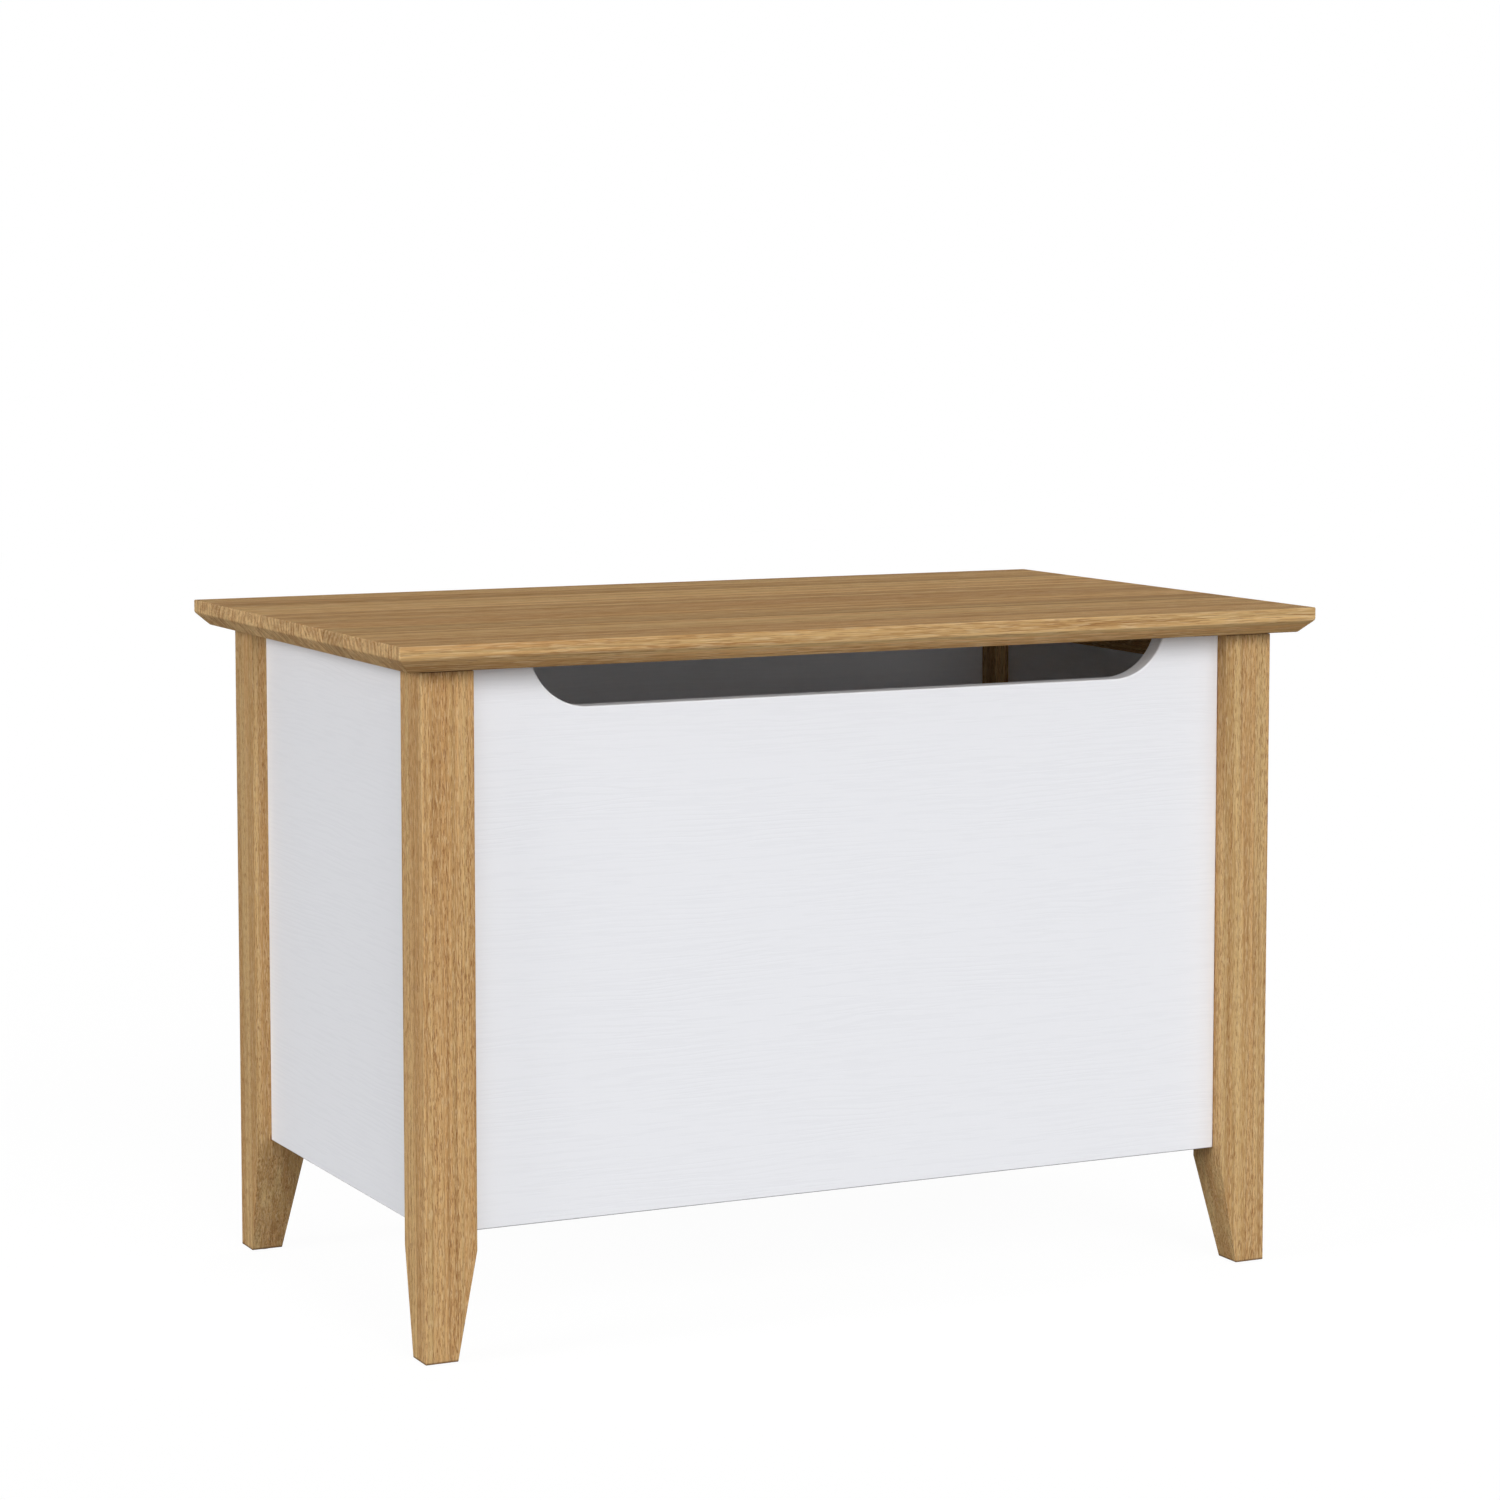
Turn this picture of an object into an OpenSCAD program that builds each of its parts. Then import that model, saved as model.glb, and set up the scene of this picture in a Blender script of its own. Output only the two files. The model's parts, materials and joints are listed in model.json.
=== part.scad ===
// Toy box: four oak legs, painted panels between them, and an oak lid hinged at the rear.
// Frame: the origin is on the floor under the centre of the box, +X to the right, +Y to the
// rear, +Z up. Every length is in millimetres.

/* [Overall] */
// Length of the lid, left to right
lid_l = 850; // [800:10:1000]
// Depth of the lid, front to rear
lid_d = 507; // [490:1:620]
// Height from the underside of the legs to the top of the lid
height = 580; // [540:10:680]

/* [Lid] */
// Thickness of the lid board
lid_t = 22; // [20:1:26]
// Height of the upright part of the lid's edge, above its 45 degree bevel
lid_edge = 11; // [8:1:14]
// Overhang of the lid past the legs at the left and right
lid_over_x = 28.5; // [24:0.5:34]
// Overhang of the lid past the legs at the front and rear
lid_over_y = 28; // [26:0.5:34]
// Gap between the legs and the closed lid, filled by the bumpers
lid_gap = 2; // [2:0.1:3]

/* [Legs] */
// Side of the square leg above its taper
leg_w = 45; // [43:1:52]
// Side of the square foot of the leg
foot_w = 28; // [24:1:36]
// Height at which the taper of the two inner faces begins
taper_h = 89; // [60:1:95]

/* [Panels] */
// Thickness of the front, side and back panels
panel_t = 18; // [17:1:19]
// Distance of the front and side panels behind the outer faces of the legs
panel_recess = 13; // [11:1:13]
// Height of the panels' lower edge above the underside of the legs
panel_lift = 102; // [100:1:140]

/* [Finger gap] */
// Depth of the gap below the closed lid
gap_depth = 36.5; // [26:0.5:42]
// Distance between the centres of the gap's round corners
gap_centres = 494; // [300:2:520]
// Radius of the gap's round corners
gap_r = 51; // [46:1:60]

/* [Base and rails] */
// Thickness of the base panel
base_t = 12; // [9:1:15]
// Height of the cleats that carry the base panel
cleat_h = 18; // [16:1:24]
// Height of the rails along the top of the side and back panels
rail_h = 28; // [26:1:34]

/* [Hinges] */
// Length of each hinge
hinge_l = 76; // [64:4:88]
// Distance of each hinge from the middle of the box
hinge_x = 255; // [180:5:280]
// Width of a hinge leaf, from the hinge axis to its free edge
leaf_w = 25; // [24:1:28]
// Radius of the hinge barrel
barrel_r = 3.2; // [2.9:0.1:3.2]
// Radius of the hinge pin
pin_r = 1.6; // [1.4:0.1:1.8]

/* [Lid stay] */
// Distance from the hinge axis to the stay's pivot on the lid
stay_reach = 150; // [130:5:170]
// Distance of that pivot below the lid
stay_drop = 14; // [13:0.5:16]
// Distance of the stay's housing in front of the hinge axis
stay_ahead = 90; // [85:1:95]
// Distance of the stay's housing below the hinge axis
stay_down = 76; // [72:1:80]

/* [Hidden] */
$fn = 48;

// Colours
oak = "#c3a06e";
paint = "#ededf0";
beech = "#d8bd93";
zinc = "#b9bcc0";
nickel = "#a9a6a0";
rubber = "#4a4a4c";
plastic = "#55575b";

// Extra length of a cutter past the face that it opens
over = 1;
// Radial room of a part that is glued or screwed into its own bore
snug = 0.05;
// Empty depth of a bore past the end of whatever sits in it
bore_room = 0.5;
// Radial room of a turning pin
run = 0.05;
// Gap between neighbouring faces that move past each other
slip = 0.4;

// Foot glides: a disc under each foot, with a short nail
glide_t = 1.5;
glide_r = 9;
glide_nail_r = 1.2;
glide_nail_l = 12;

// Heights
leg_z = glide_t;
top_z = leg_z + height;
lid_z = top_z - lid_t;
leg_l = height - lid_t - lid_gap;
leg_top = leg_z + leg_l;
panel_z = leg_z + panel_lift;
panel_h = leg_top - panel_z;
bevel = lid_t - lid_edge;

// Plan: half sizes of the legs' outer faces and inner faces
out_x = lid_l / 2 - lid_over_x;
out_y = lid_d / 2 - lid_over_y;
in_x = out_x - leg_w;
in_y = out_y - leg_w;

// Hinge axis: level with the legs' rear faces, just under the lid
axis_off = 3.5;
leaf_t = 1.5;
axis_y = out_y;
axis_z = lid_z - axis_off;

// Panel planes: outer face of each, and the inner face that the box's room ends at
front_y = -out_y + panel_recess;
front_in = front_y + panel_t;
back_y = out_y - axis_off;
back_in = back_y - panel_t;
side_x = out_x - panel_recess;
side_in = side_x - panel_t;
rail_t = side_in - in_x;

// Base panel: room left around it, and the notch at each leg
base_room = 0.5;
base_z = panel_z + 1 + cleat_h;

// Joints between the panels and the legs, as heights above the panels' lower edge
bolt_h = [70, panel_h - 140];
dowel_h = [30, panel_h - 36];
bolt_thread_r = 2.5;
bolt_thread_l = 11;
bolt_neck_r = 2.4;
bolt_head_r = 3.4;
bolt_head_l = 5;
bolt_bore_r = 4;
cam_reach = 34;
cam_r = 7.5;
cam_depth = 13.5;
cam_gap = 0.5;
cover_r = 9;
cover_t = 1;
dowel_r = 4;
dowel_in_leg = 14;
dowel_in_panel = 16;

// Wood screws: countersunk head, shank and point
screw_r = 2;
screw_head_r = 3.9;
screw_head_h = 2.2;
screw_point = 4;
slot_l = 4.4;
slot_w = 0.9;
slot_depth = 1.3;
hinge_screw_l = 25;
lid_screw_l = 16;
rail_screw_l = 26;
cleat_screw_l = 28;
base_screw_l = 26;
stay_screw_l = 16;

// Places of the screws, as fractions of the half size or of the hinge's length
cleat_screw_x = [-0.8, -0.27, 0.27, 0.8];
cleat_screw_y = [-0.7, 0, 0.7];
base_screw_x = [-0.65, 0, 0.65];
base_screw_y = [-0.4, 0.4];
rail_screw_x = [-0.93, -0.25, 0.25, 0.93];
rail_screw_y = [-0.75, 0, 0.75];
leaf_screw_x = [-0.36, 0, 0.36];

// Hinge knuckles, and the heads of the hinge pin
knuckles = 5;
pin_head_t = 1.4;
pin_head_gap = 0.2;

// Bumpers on the legs' tops
bumper_r = 5;
bumper_t = lid_gap - 0.2;

// Lid stay: hinge axis, housing pivot, lid pivot and elbow form an exact parallelogram
stay_o = [axis_y, axis_z];
stay_p = stay_o + [-stay_ahead, -stay_down];
stay_q = [axis_y - stay_reach, lid_z - stay_drop];
stay_j = stay_p + stay_q - stay_o;
bar_t = 3;
bar_w = 12;
eye_r = 8;
arm_x = -in_x + 1.5;
link_x = arm_x + bar_t + slip;
rivet_r = 3;
rivet_head_r = 5.5;
rivet_head_t = 2.2;
elbow_room = 0.3;
drum_r = 17;
drum_wall = 3;
plate_t = 3;
plate_half = 26;
plate_w = 18;
ear_r = 9;
cover_plate_t = 2;
drum_end = arm_x - slip - cover_plate_t;
shaft_r = 5;
shaft_head_r = 8;
disc_t = 1.7;
disc_count = 4;
disc_gap = 0.3;
flange_t = 2;
flange_w = 26;
flange_half = 24;
flange_screw_x = 18;
flange_screw_y = 15;

// Turns +Z to the named side of the box
function turn(side) =
    side == "right" ? [0, 90, 0] :
    side == "left" ? [0, -90, 0] :
    side == "rear" ? [-90, 0, 0] :
    side == "front" ? [90, 0, 0] :
    side == "down" ? [180, 0, 0] : [0, 0, 0];

// ---------------------------------------------------------------- shared shapes

// Extrudes a drawing whose axes are the box's Y and Z, from x0 towards +X
module along_x(x0, thick) {
    translate([x0, 0, 0]) rotate([90, 0, 90]) linear_extrude(thick) children();
}

// Extrudes a drawing whose axes are the box's X and Z, from y0 towards +Y
module along_y(y0, thick) {
    translate([0, y0 + thick, 0]) rotate([90, 0, 0]) linear_extrude(thick) children();
}

// Block from its lowest corner to its highest
module block(low, high) {
    translate(low) cube(high - low);
}

// Countersunk wood screw: the top of its head at the origin, facing +Z
module screw(len) {
    difference() {
        union() {
            translate([0, 0, -screw_head_h])
                cylinder(r1 = screw_r, r2 = screw_head_r, h = screw_head_h);
            translate([0, 0, -len + screw_point])
                cylinder(r = screw_r, h = len - screw_point - screw_head_h);
            translate([0, 0, -len]) cylinder(r1 = 0.4, r2 = screw_r, h = screw_point);
        }
        for (a = [0, 90])
            rotate([0, 0, a])
                translate([-slot_l / 2, -slot_w / 2, -slot_depth])
                    cube([slot_l, slot_w, slot_depth + over]);
    }
}

// Hole that the same screw sits in
module screw_hole(len) {
    translate([0, 0, -screw_head_h])
        cylinder(r1 = screw_r + snug, r2 = screw_head_r + snug, h = screw_head_h);
    translate([0, 0, -len - bore_room]) cylinder(r = screw_r + snug, h = len);
    translate([0, 0, -0.01]) cylinder(r = screw_head_r + snug, h = over);
}

// ---------------------------------------------------------------- legs and panels

// Side view of a leg: its outer face is on the left, and the taper on the right
module leg_side() {
    polygon([[0, 0], [foot_w, 0], [leg_w, taper_h], [leg_w, leg_l], [0, leg_l]]);
}

// Puts its children at a leg's outer corner, with +X and +Y pointing into the box
module at_leg(sx, sy) {
    translate([sx * out_x, sy * out_y, leg_z])
        mirror([sx > 0 ? 1 : 0, 0, 0])
            mirror([0, sy > 0 ? 1 : 0, 0])
                children();
}

module leg(sx, sy) {
    color(oak)
        difference() {
            at_leg(sx, sy)
                difference() {
                    intersection() {
                        along_x(0, leg_w) leg_side();
                        along_y(0, leg_w) leg_side();
                    }
                    translate([foot_w / 2, foot_w / 2, -over])
                        cylinder(r = glide_nail_r + snug, h = glide_nail_l + over + bore_room);
                }
            joinery_holes();
        }
}

// Puts its children at both ends of the named panel: +X runs from the leg into the panel,
// +Y points into the box, and the origin is at mid thickness on the panel's lower edge
module at_ends(panel) {
    if (panel == "front")
        for (m = [0, 1]) mirror([m, 0, 0])
            translate([-in_x, front_y + panel_t / 2, panel_z]) children();
    if (panel == "back")
        for (m = [0, 1]) mirror([m, 0, 0])
            translate([-in_x, back_y - panel_t / 2, panel_z]) mirror([0, 1, 0]) children();
    if (panel == "left")
        for (m = [0, 1]) mirror([0, m, 0])
            translate([-side_x + panel_t / 2, -in_y, panel_z]) mirror([1, -1, 0]) children();
    if (panel == "right")
        mirror([1, 0, 0]) at_ends("left") children();
}

// Puts its children at every bolt, or every dowel, of the four panels
module at_joints(heights) {
    for (panel = ["front", "back", "left", "right"])
        at_ends(panel)
            for (h = heights) translate([0, 0, h]) children();
}

// Cylinder along +X, from x0
module rod(x0, len, r) {
    translate([x0, 0, 0]) rotate([0, 90, 0]) cylinder(r = r, h = len);
}

module joinery_holes() {
    at_joints(bolt_h) {
        rod(-bolt_thread_l - bore_room, bolt_thread_l + over, bolt_thread_r + snug);
        rod(0, cam_reach, bolt_bore_r);
        translate([cam_reach, panel_t / 2 - cam_depth, 0])
            rotate([-90, 0, 0]) cylinder(r = cam_r, h = cam_depth + over);
    }
    at_joints(dowel_h)
        rod(-dowel_in_leg - bore_room, dowel_in_leg + dowel_in_panel + 2 * bore_room, dowel_r + snug);
}

module cam_bolts() {
    color(zinc)
        at_joints(bolt_h)
            union() {
                rod(-bolt_thread_l, bolt_thread_l, bolt_thread_r);
                rod(-0.5, cam_reach - bolt_head_l, bolt_neck_r);
                rod(cam_reach - bolt_head_l - 1, bolt_head_l, bolt_head_r);
            }
}

module cam_locks() {
    color(zinc)
        at_joints(bolt_h)
            difference() {
                translate([cam_reach, panel_t / 2 - cam_depth + 0.2, 0])
                    rotate([-90, 0, 0]) cylinder(r = cam_r - 0.1, h = cam_depth - cam_gap - 0.2);
                rod(cam_reach - cam_r - over, cam_r + 1 + over, bolt_head_r + 0.2);
                translate([cam_reach, panel_t / 2 - cam_gap, 0])
                    for (a = [0, 90])
                        rotate([0, a, 0])
                            translate([-slot_l / 2, -slot_depth, -slot_w / 2])
                                cube([slot_l, slot_depth + over, slot_w]);
            }
}

module cam_covers() {
    color(paint)
        at_joints(bolt_h)
            translate([cam_reach, panel_t / 2, 0])
                rotate([-90, 0, 0]) {
                    cylinder(r = cover_r, h = cover_t / 2);
                    translate([0, 0, cover_t / 2])
                        cylinder(r1 = cover_r, r2 = cover_r - cover_t / 2, h = cover_t / 2);
                }
}

module dowels() {
    color(beech)
        at_joints(dowel_h) rod(-dowel_in_leg, dowel_in_leg + dowel_in_panel, dowel_r);
}

// Drawing of the finger gap, on X and Z
module finger_gap() {
    centre_z = lid_z + gap_r - gap_depth;
    half = gap_centres / 2;
    for (s = [-1, 1]) translate([s * half, centre_z]) circle(r = gap_r, $fn = 96);
    translate([-half, centre_z - gap_r]) square([gap_centres, gap_r + gap_depth]);
}

module front_panel() {
    color(paint)
        difference() {
            block([-in_x, front_y, panel_z], [in_x, front_in, leg_top]);
            along_y(front_y - over, panel_t + 2 * over) finger_gap();
            joinery_holes();
            at_cleat_screws() screw_hole(cleat_screw_l);
        }
}

module back_panel() {
    color(paint)
        difference() {
            block([-in_x, back_in, panel_z], [in_x, back_y, leg_top]);
            joinery_holes();
            at_cleat_screws() screw_hole(cleat_screw_l);
            at_rail_screws() screw_hole(rail_screw_l);
            at_hinges() at_body_leaf_screws() screw_hole(hinge_screw_l);
        }
}

module left_panel() {
    color(paint)
        difference() {
            block([-side_x, -in_y, panel_z], [-side_in, in_y, leg_top]);
            joinery_holes();
            at_cleat_screws() screw_hole(cleat_screw_l);
            at_rail_screws() screw_hole(rail_screw_l);
            at_stay_body_screws() screw_hole(stay_screw_l);
        }
}

module right_panel() {
    color(paint)
        difference() {
            block([side_in, -in_y, panel_z], [side_x, in_y, leg_top]);
            joinery_holes();
            at_cleat_screws() screw_hole(cleat_screw_l);
            at_rail_screws() screw_hole(rail_screw_l);
        }
}

// ---------------------------------------------------------------- base and cleats

module base_panel() {
    color(paint)
        difference() {
            block([-side_in + base_room, front_in + base_room, base_z],
                [side_in - base_room, back_in - base_room, base_z + base_t]);
            for (sx = [-1, 1], sy = [-1, 1])
                translate([sx * (in_x - base_room + leg_w / 2), sy * (in_y - base_room + leg_w / 2), base_z])
                    cube([leg_w, leg_w, 3 * base_t], center = true);
            at_base_screws() screw_hole(base_screw_l);
        }
}

// One cleat; the cutters take in every screw that reaches it
module cleat(low, high) {
    color(beech)
        difference() {
            block([low[0], low[1], base_z - cleat_h], [high[0], high[1], base_z]);
            at_cleat_screws() screw_hole(cleat_screw_l);
            at_base_screws() screw_hole(base_screw_l);
        }
}

module front_cleat() {
    cleat([-in_x, front_in], [in_x, front_in + rail_t]);
}

module rear_cleat() {
    cleat([-in_x, back_in - rail_t], [in_x, back_in]);
}

module left_cleat() {
    cleat([-side_in, -in_y], [-in_x, in_y]);
}

module right_cleat() {
    cleat([in_x, -in_y], [side_in, in_y]);
}

module at_cleat_screws() {
    mid = base_z - cleat_h / 2;
    for (x = cleat_screw_x * in_x) {
        translate([x, front_in + rail_t, mid]) rotate(turn("rear")) children();
        translate([x, back_in - rail_t, mid]) rotate(turn("front")) children();
    }
    for (y = cleat_screw_y * in_y) {
        translate([-in_x, y, mid]) rotate(turn("right")) children();
        translate([in_x, y, mid]) rotate(turn("left")) children();
    }
}

module at_base_screws() {
    for (x = base_screw_x * in_x)
        for (y = [front_in + rail_t / 2, back_in - rail_t / 2])
            translate([x, y, base_z + base_t]) children();
    for (sx = [-1, 1], y = base_screw_y * in_y)
        translate([sx * (in_x + rail_t / 2), y, base_z + base_t]) children();
}

module cleat_screws() {
    color(zinc) at_cleat_screws() screw(cleat_screw_l);
}

module base_screws() {
    color(zinc) at_base_screws() screw(base_screw_l);
}

// ---------------------------------------------------------------- top rails

// One rail; its screws and the hinge screws that reach it are cut out
module rail(low, high) {
    color(oak)
        difference() {
            block([low[0], low[1], leg_top - rail_h], [high[0], high[1], leg_top]);
            at_rail_screws() screw_hole(rail_screw_l);
            at_hinges() at_body_leaf_screws() screw_hole(hinge_screw_l);
        }
}

module left_top_rail() {
    rail([-side_in, -in_y], [-in_x, in_y]);
}

module right_top_rail() {
    rail([in_x, -in_y], [side_in, in_y]);
}

module rear_top_rail() {
    rail([-in_x, back_in - rail_t], [in_x, back_in]);
}

module at_rail_screws() {
    mid = leg_top - rail_h / 2;
    for (x = rail_screw_x * in_x)
        translate([x, back_in - rail_t, mid]) rotate(turn("front")) children();
    for (y = rail_screw_y * in_y) {
        translate([-in_x, y, mid]) rotate(turn("right")) children();
        translate([in_x, y, mid]) rotate(turn("left")) children();
    }
}

module rail_screws() {
    color(zinc) at_rail_screws() screw(rail_screw_l);
}

// ---------------------------------------------------------------- lid

// Section of the lid board, w wide and centred on 0, with its lower corners bevelled
module lid_section(w) {
    polygon([[-w / 2, lid_t], [w / 2, lid_t], [w / 2, bevel], [w / 2 - bevel, 0],
        [-w / 2 + bevel, 0], [-w / 2, bevel]]);
}

module lid_board() {
    color(oak)
        difference() {
            translate([0, 0, lid_z])
                intersection() {
                    along_y(-lid_d / 2, lid_d) lid_section(lid_l);
                    along_x(-lid_l / 2, lid_l) lid_section(lid_d);
                }
            at_hinges() at_lid_leaf_screws() screw_hole(lid_screw_l);
            at_stay_lid_screws() screw_hole(lid_screw_l);
        }
}

module lid_bumpers() {
    color(rubber)
        for (sx = [-1, 1], sy = [-1, 1])
            at_leg(sx, sy)
                translate([leg_w / 2, leg_w / 2, leg_l]) cylinder(r = bumper_r, h = bumper_t);
}

module foot_glides() {
    color(plastic)
        for (sx = [-1, 1], sy = [-1, 1])
            at_leg(sx, sy)
                translate([foot_w / 2, foot_w / 2, -glide_t]) {
                    cylinder(r1 = glide_r - 0.5, r2 = glide_r, h = 0.5);
                    translate([0, 0, 0.5]) cylinder(r = glide_r, h = glide_t - 0.5);
                    cylinder(r = glide_nail_r, h = glide_t + glide_nail_l);
                }
}

// ---------------------------------------------------------------- hinges

// Puts its children at each hinge, with the hinge axis along X through the origin
module at_hinges() {
    for (s = [-1, 1]) translate([s * hinge_x, axis_y, axis_z]) children();
}

// Leaf hanging down from the axis, its back on the plane y = -axis_off; first is 0 for the
// knuckles 0, 2, 4 and 1 for the knuckles 1, 3
module leaf_blank(first) {
    pitch = hinge_l / knuckles;
    difference() {
        union() {
            block([-hinge_l / 2, -axis_off, -leaf_w],
                [hinge_l / 2, -axis_off + leaf_t, -barrel_r - slip]);
            for (i = [first : 2 : knuckles - 1])
                translate([-hinge_l / 2 + i * pitch + slip / 2, 0, 0]) {
                    rod(0, pitch - slip, barrel_r);
                    block([0, -axis_off, -barrel_r - 1], [pitch - slip, -axis_off + leaf_t, 0]);
                }
        }
        rod(-hinge_l / 2 - over, hinge_l + 2 * over, pin_r + run);
    }
}

// Turns a hanging leaf up under the lid, where it points to the front
module under_lid() {
    rotate([-90, 0, 0]) children();
}

module at_leaf_screws() {
    for (x = leaf_screw_x * hinge_l)
        translate([x, -axis_off + leaf_t, -(leaf_w + barrel_r + slip) / 2])
            rotate(turn("rear")) children();
}

module at_body_leaf_screws() {
    at_leaf_screws() children();
}

module at_lid_leaf_screws() {
    under_lid() at_leaf_screws() children();
}

module body_leaf(s) {
    color(nickel)
        translate([s * hinge_x, axis_y, axis_z])
            difference() {
                leaf_blank(0);
                at_body_leaf_screws() screw_hole(hinge_screw_l);
            }
}

module lid_leaf(s) {
    color(nickel)
        translate([s * hinge_x, axis_y, axis_z])
            difference() {
                under_lid() leaf_blank(1);
                at_lid_leaf_screws() screw_hole(lid_screw_l);
            }
}

module hinge_pin(s) {
    color(nickel)
        translate([s * hinge_x, axis_y, axis_z]) {
            rod(-hinge_l / 2 - 0.5, hinge_l + 1, pin_r);
            for (side = [-1, 1])
                rod(side * (hinge_l / 2 + pin_head_gap + pin_head_t / 2) - pin_head_t / 2,
                    pin_head_t, barrel_r - slip);
        }
}

module hinge_body_screws() {
    color(zinc) at_hinges() at_body_leaf_screws() screw(hinge_screw_l);
}

module hinge_lid_screws() {
    color(zinc) at_hinges() at_lid_leaf_screws() screw(lid_screw_l);
}

// ---------------------------------------------------------------- lid stay

// Flat bar between two eyes, drawn on Y and Z
module bar_shape(a, b) {
    along = (b - a) / norm(b - a);
    side = [-along[1], along[0]] * bar_w / 2;
    polygon([a + side, b + side, b - side, a - side]);
    for (p = [a, b]) translate(p) circle(r = eye_r);
}

// Cylinder along X at a pivot given as [Y, Z], from x0
module pivot(p, x0, len, r) {
    translate([x0, p[0], p[1]]) rotate([0, 90, 0]) cylinder(r = r, h = len);
}

module at_stay_body_screws() {
    for (s = [-1, 1])
        translate([-side_in + plate_t, stay_p[0] + s * plate_half, stay_p[1]])
            rotate(turn("right")) children();
}

module at_stay_lid_screws() {
    for (s = [-1, 1])
        translate([arm_x + flange_screw_x, stay_q[0] + s * flange_screw_y, lid_z - flange_t])
            rotate(turn("down")) children();
}

module stay_housing() {
    color(plastic)
        difference() {
            union() {
                along_x(-side_in, plate_t) {
                    translate([stay_p[0] - plate_half, stay_p[1] - plate_w / 2 + 1])
                        square([2 * plate_half, plate_w - 2]);
                    for (s = [-1, 1])
                        translate([stay_p[0] + s * plate_half, stay_p[1]]) circle(r = ear_r);
                }
                pivot(stay_p, -side_in, drum_end + side_in, drum_r);
            }
            pivot(stay_p, -side_in + plate_t, drum_end + side_in, drum_r - drum_wall);
            pivot(stay_p, -side_in + 1, plate_t, shaft_r + run);
            at_stay_body_screws() screw_hole(stay_screw_l);
        }
}

module stay_cover() {
    color(plastic)
        difference() {
            pivot(stay_p, drum_end, cover_plate_t, drum_r);
            pivot(stay_p, drum_end - over, cover_plate_t + 2 * over, shaft_r + run);
        }
}

module stay_friction_discs() {
    first = -side_in + plate_t + disc_gap;
    color(rubber)
        for (i = [0 : disc_count - 1])
            difference() {
                pivot(stay_p, first + i * (disc_t + disc_gap), disc_t, drum_r - drum_wall - snug);
                pivot(stay_p, first + i * (disc_t + disc_gap) - over, disc_t + 2 * over,
                    shaft_r + run);
            }
}

module stay_shaft() {
    start = -side_in + 1.2;
    color(zinc) {
        pivot(stay_p, start, arm_x + bar_t - start, shaft_r);
        difference() {
            pivot(stay_p, arm_x + bar_t, bar_t, shaft_head_r);
            along_x(arm_x + 2 * bar_t - slot_depth, 2 * over)
                translate(stay_p - [slot_l, slot_w]) square([2 * slot_l, 2 * slot_w]);
        }
    }
}

module stay_arm() {
    color(zinc)
        along_x(arm_x, bar_t)
            difference() {
                bar_shape(stay_p, stay_j);
                translate(stay_p) circle(r = shaft_r + snug);
                translate(stay_j) circle(r = rivet_r + snug);
            }
}

module stay_elbow_pin() {
    color(nickel) {
        pivot(stay_j, arm_x, link_x + bar_t + slip - arm_x, rivet_r);
        pivot(stay_j, link_x + bar_t + slip, rivet_head_t, rivet_head_r);
    }
}

module stay_link() {
    color(zinc)
        along_x(link_x, bar_t)
            difference() {
                bar_shape(stay_q, stay_j);
                translate(stay_q) circle(r = rivet_r + run);
                translate(stay_j) circle(r = rivet_r + elbow_room);
            }
}

module stay_lid_bracket() {
    color(zinc)
        difference() {
            union() {
                block([arm_x, stay_q[0] - flange_half, lid_z - flange_t],
                    [arm_x + flange_w, stay_q[0] + flange_half, lid_z]);
                along_x(arm_x, bar_t) {
                    translate(stay_q) circle(r = eye_r);
                    polygon([stay_q + [-eye_r + 0.5, 0], stay_q + [eye_r - 0.5, 0],
                        [stay_q[0] + flange_half - 6, lid_z - flange_t / 2],
                        [stay_q[0] - flange_half + 6, lid_z - flange_t / 2]]);
                }
            }
            pivot(stay_q, arm_x - over, bar_t + 2 * over, rivet_r + snug);
            at_stay_lid_screws() screw_hole(lid_screw_l);
        }
}

module stay_lid_pin() {
    color(nickel) {
        pivot(stay_q, arm_x, link_x + bar_t + slip - arm_x, rivet_r);
        pivot(stay_q, link_x + bar_t + slip, rivet_head_t, rivet_head_r);
    }
}

module stay_body_screws() {
    color(zinc) at_stay_body_screws() screw(stay_screw_l);
}

module stay_lid_screws() {
    color(zinc) at_stay_lid_screws() screw(lid_screw_l);
}

// ---------------------------------------------------------------- nodes

lid_board();
leg(-1, -1);  // leg_front_left
leg(1, -1);  // leg_front_right
leg(-1, 1);  // leg_rear_left
leg(1, 1);  // leg_rear_right
front_panel();
back_panel();
left_panel();
right_panel();
base_panel();
left_top_rail();
right_top_rail();
rear_top_rail();
front_cleat();
rear_cleat();
left_cleat();
right_cleat();
cam_bolts();
cam_locks();
cam_covers();
dowels();
body_leaf(-1);  // hinge_left_body_leaf
lid_leaf(-1);  // hinge_left_lid_leaf
hinge_pin(-1);  // hinge_left_pin
body_leaf(1);  // hinge_right_body_leaf
lid_leaf(1);  // hinge_right_lid_leaf
hinge_pin(1);  // hinge_right_pin
hinge_body_screws();
hinge_lid_screws();
rail_screws();
cleat_screws();
base_screws();
stay_housing();
stay_cover();
stay_friction_discs();
stay_shaft();
stay_arm();
stay_elbow_pin();
stay_link();
stay_lid_bracket();
stay_lid_pin();
stay_body_screws();
stay_lid_screws();
lid_bumpers();
foot_glides();
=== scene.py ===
import json
import math

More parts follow.
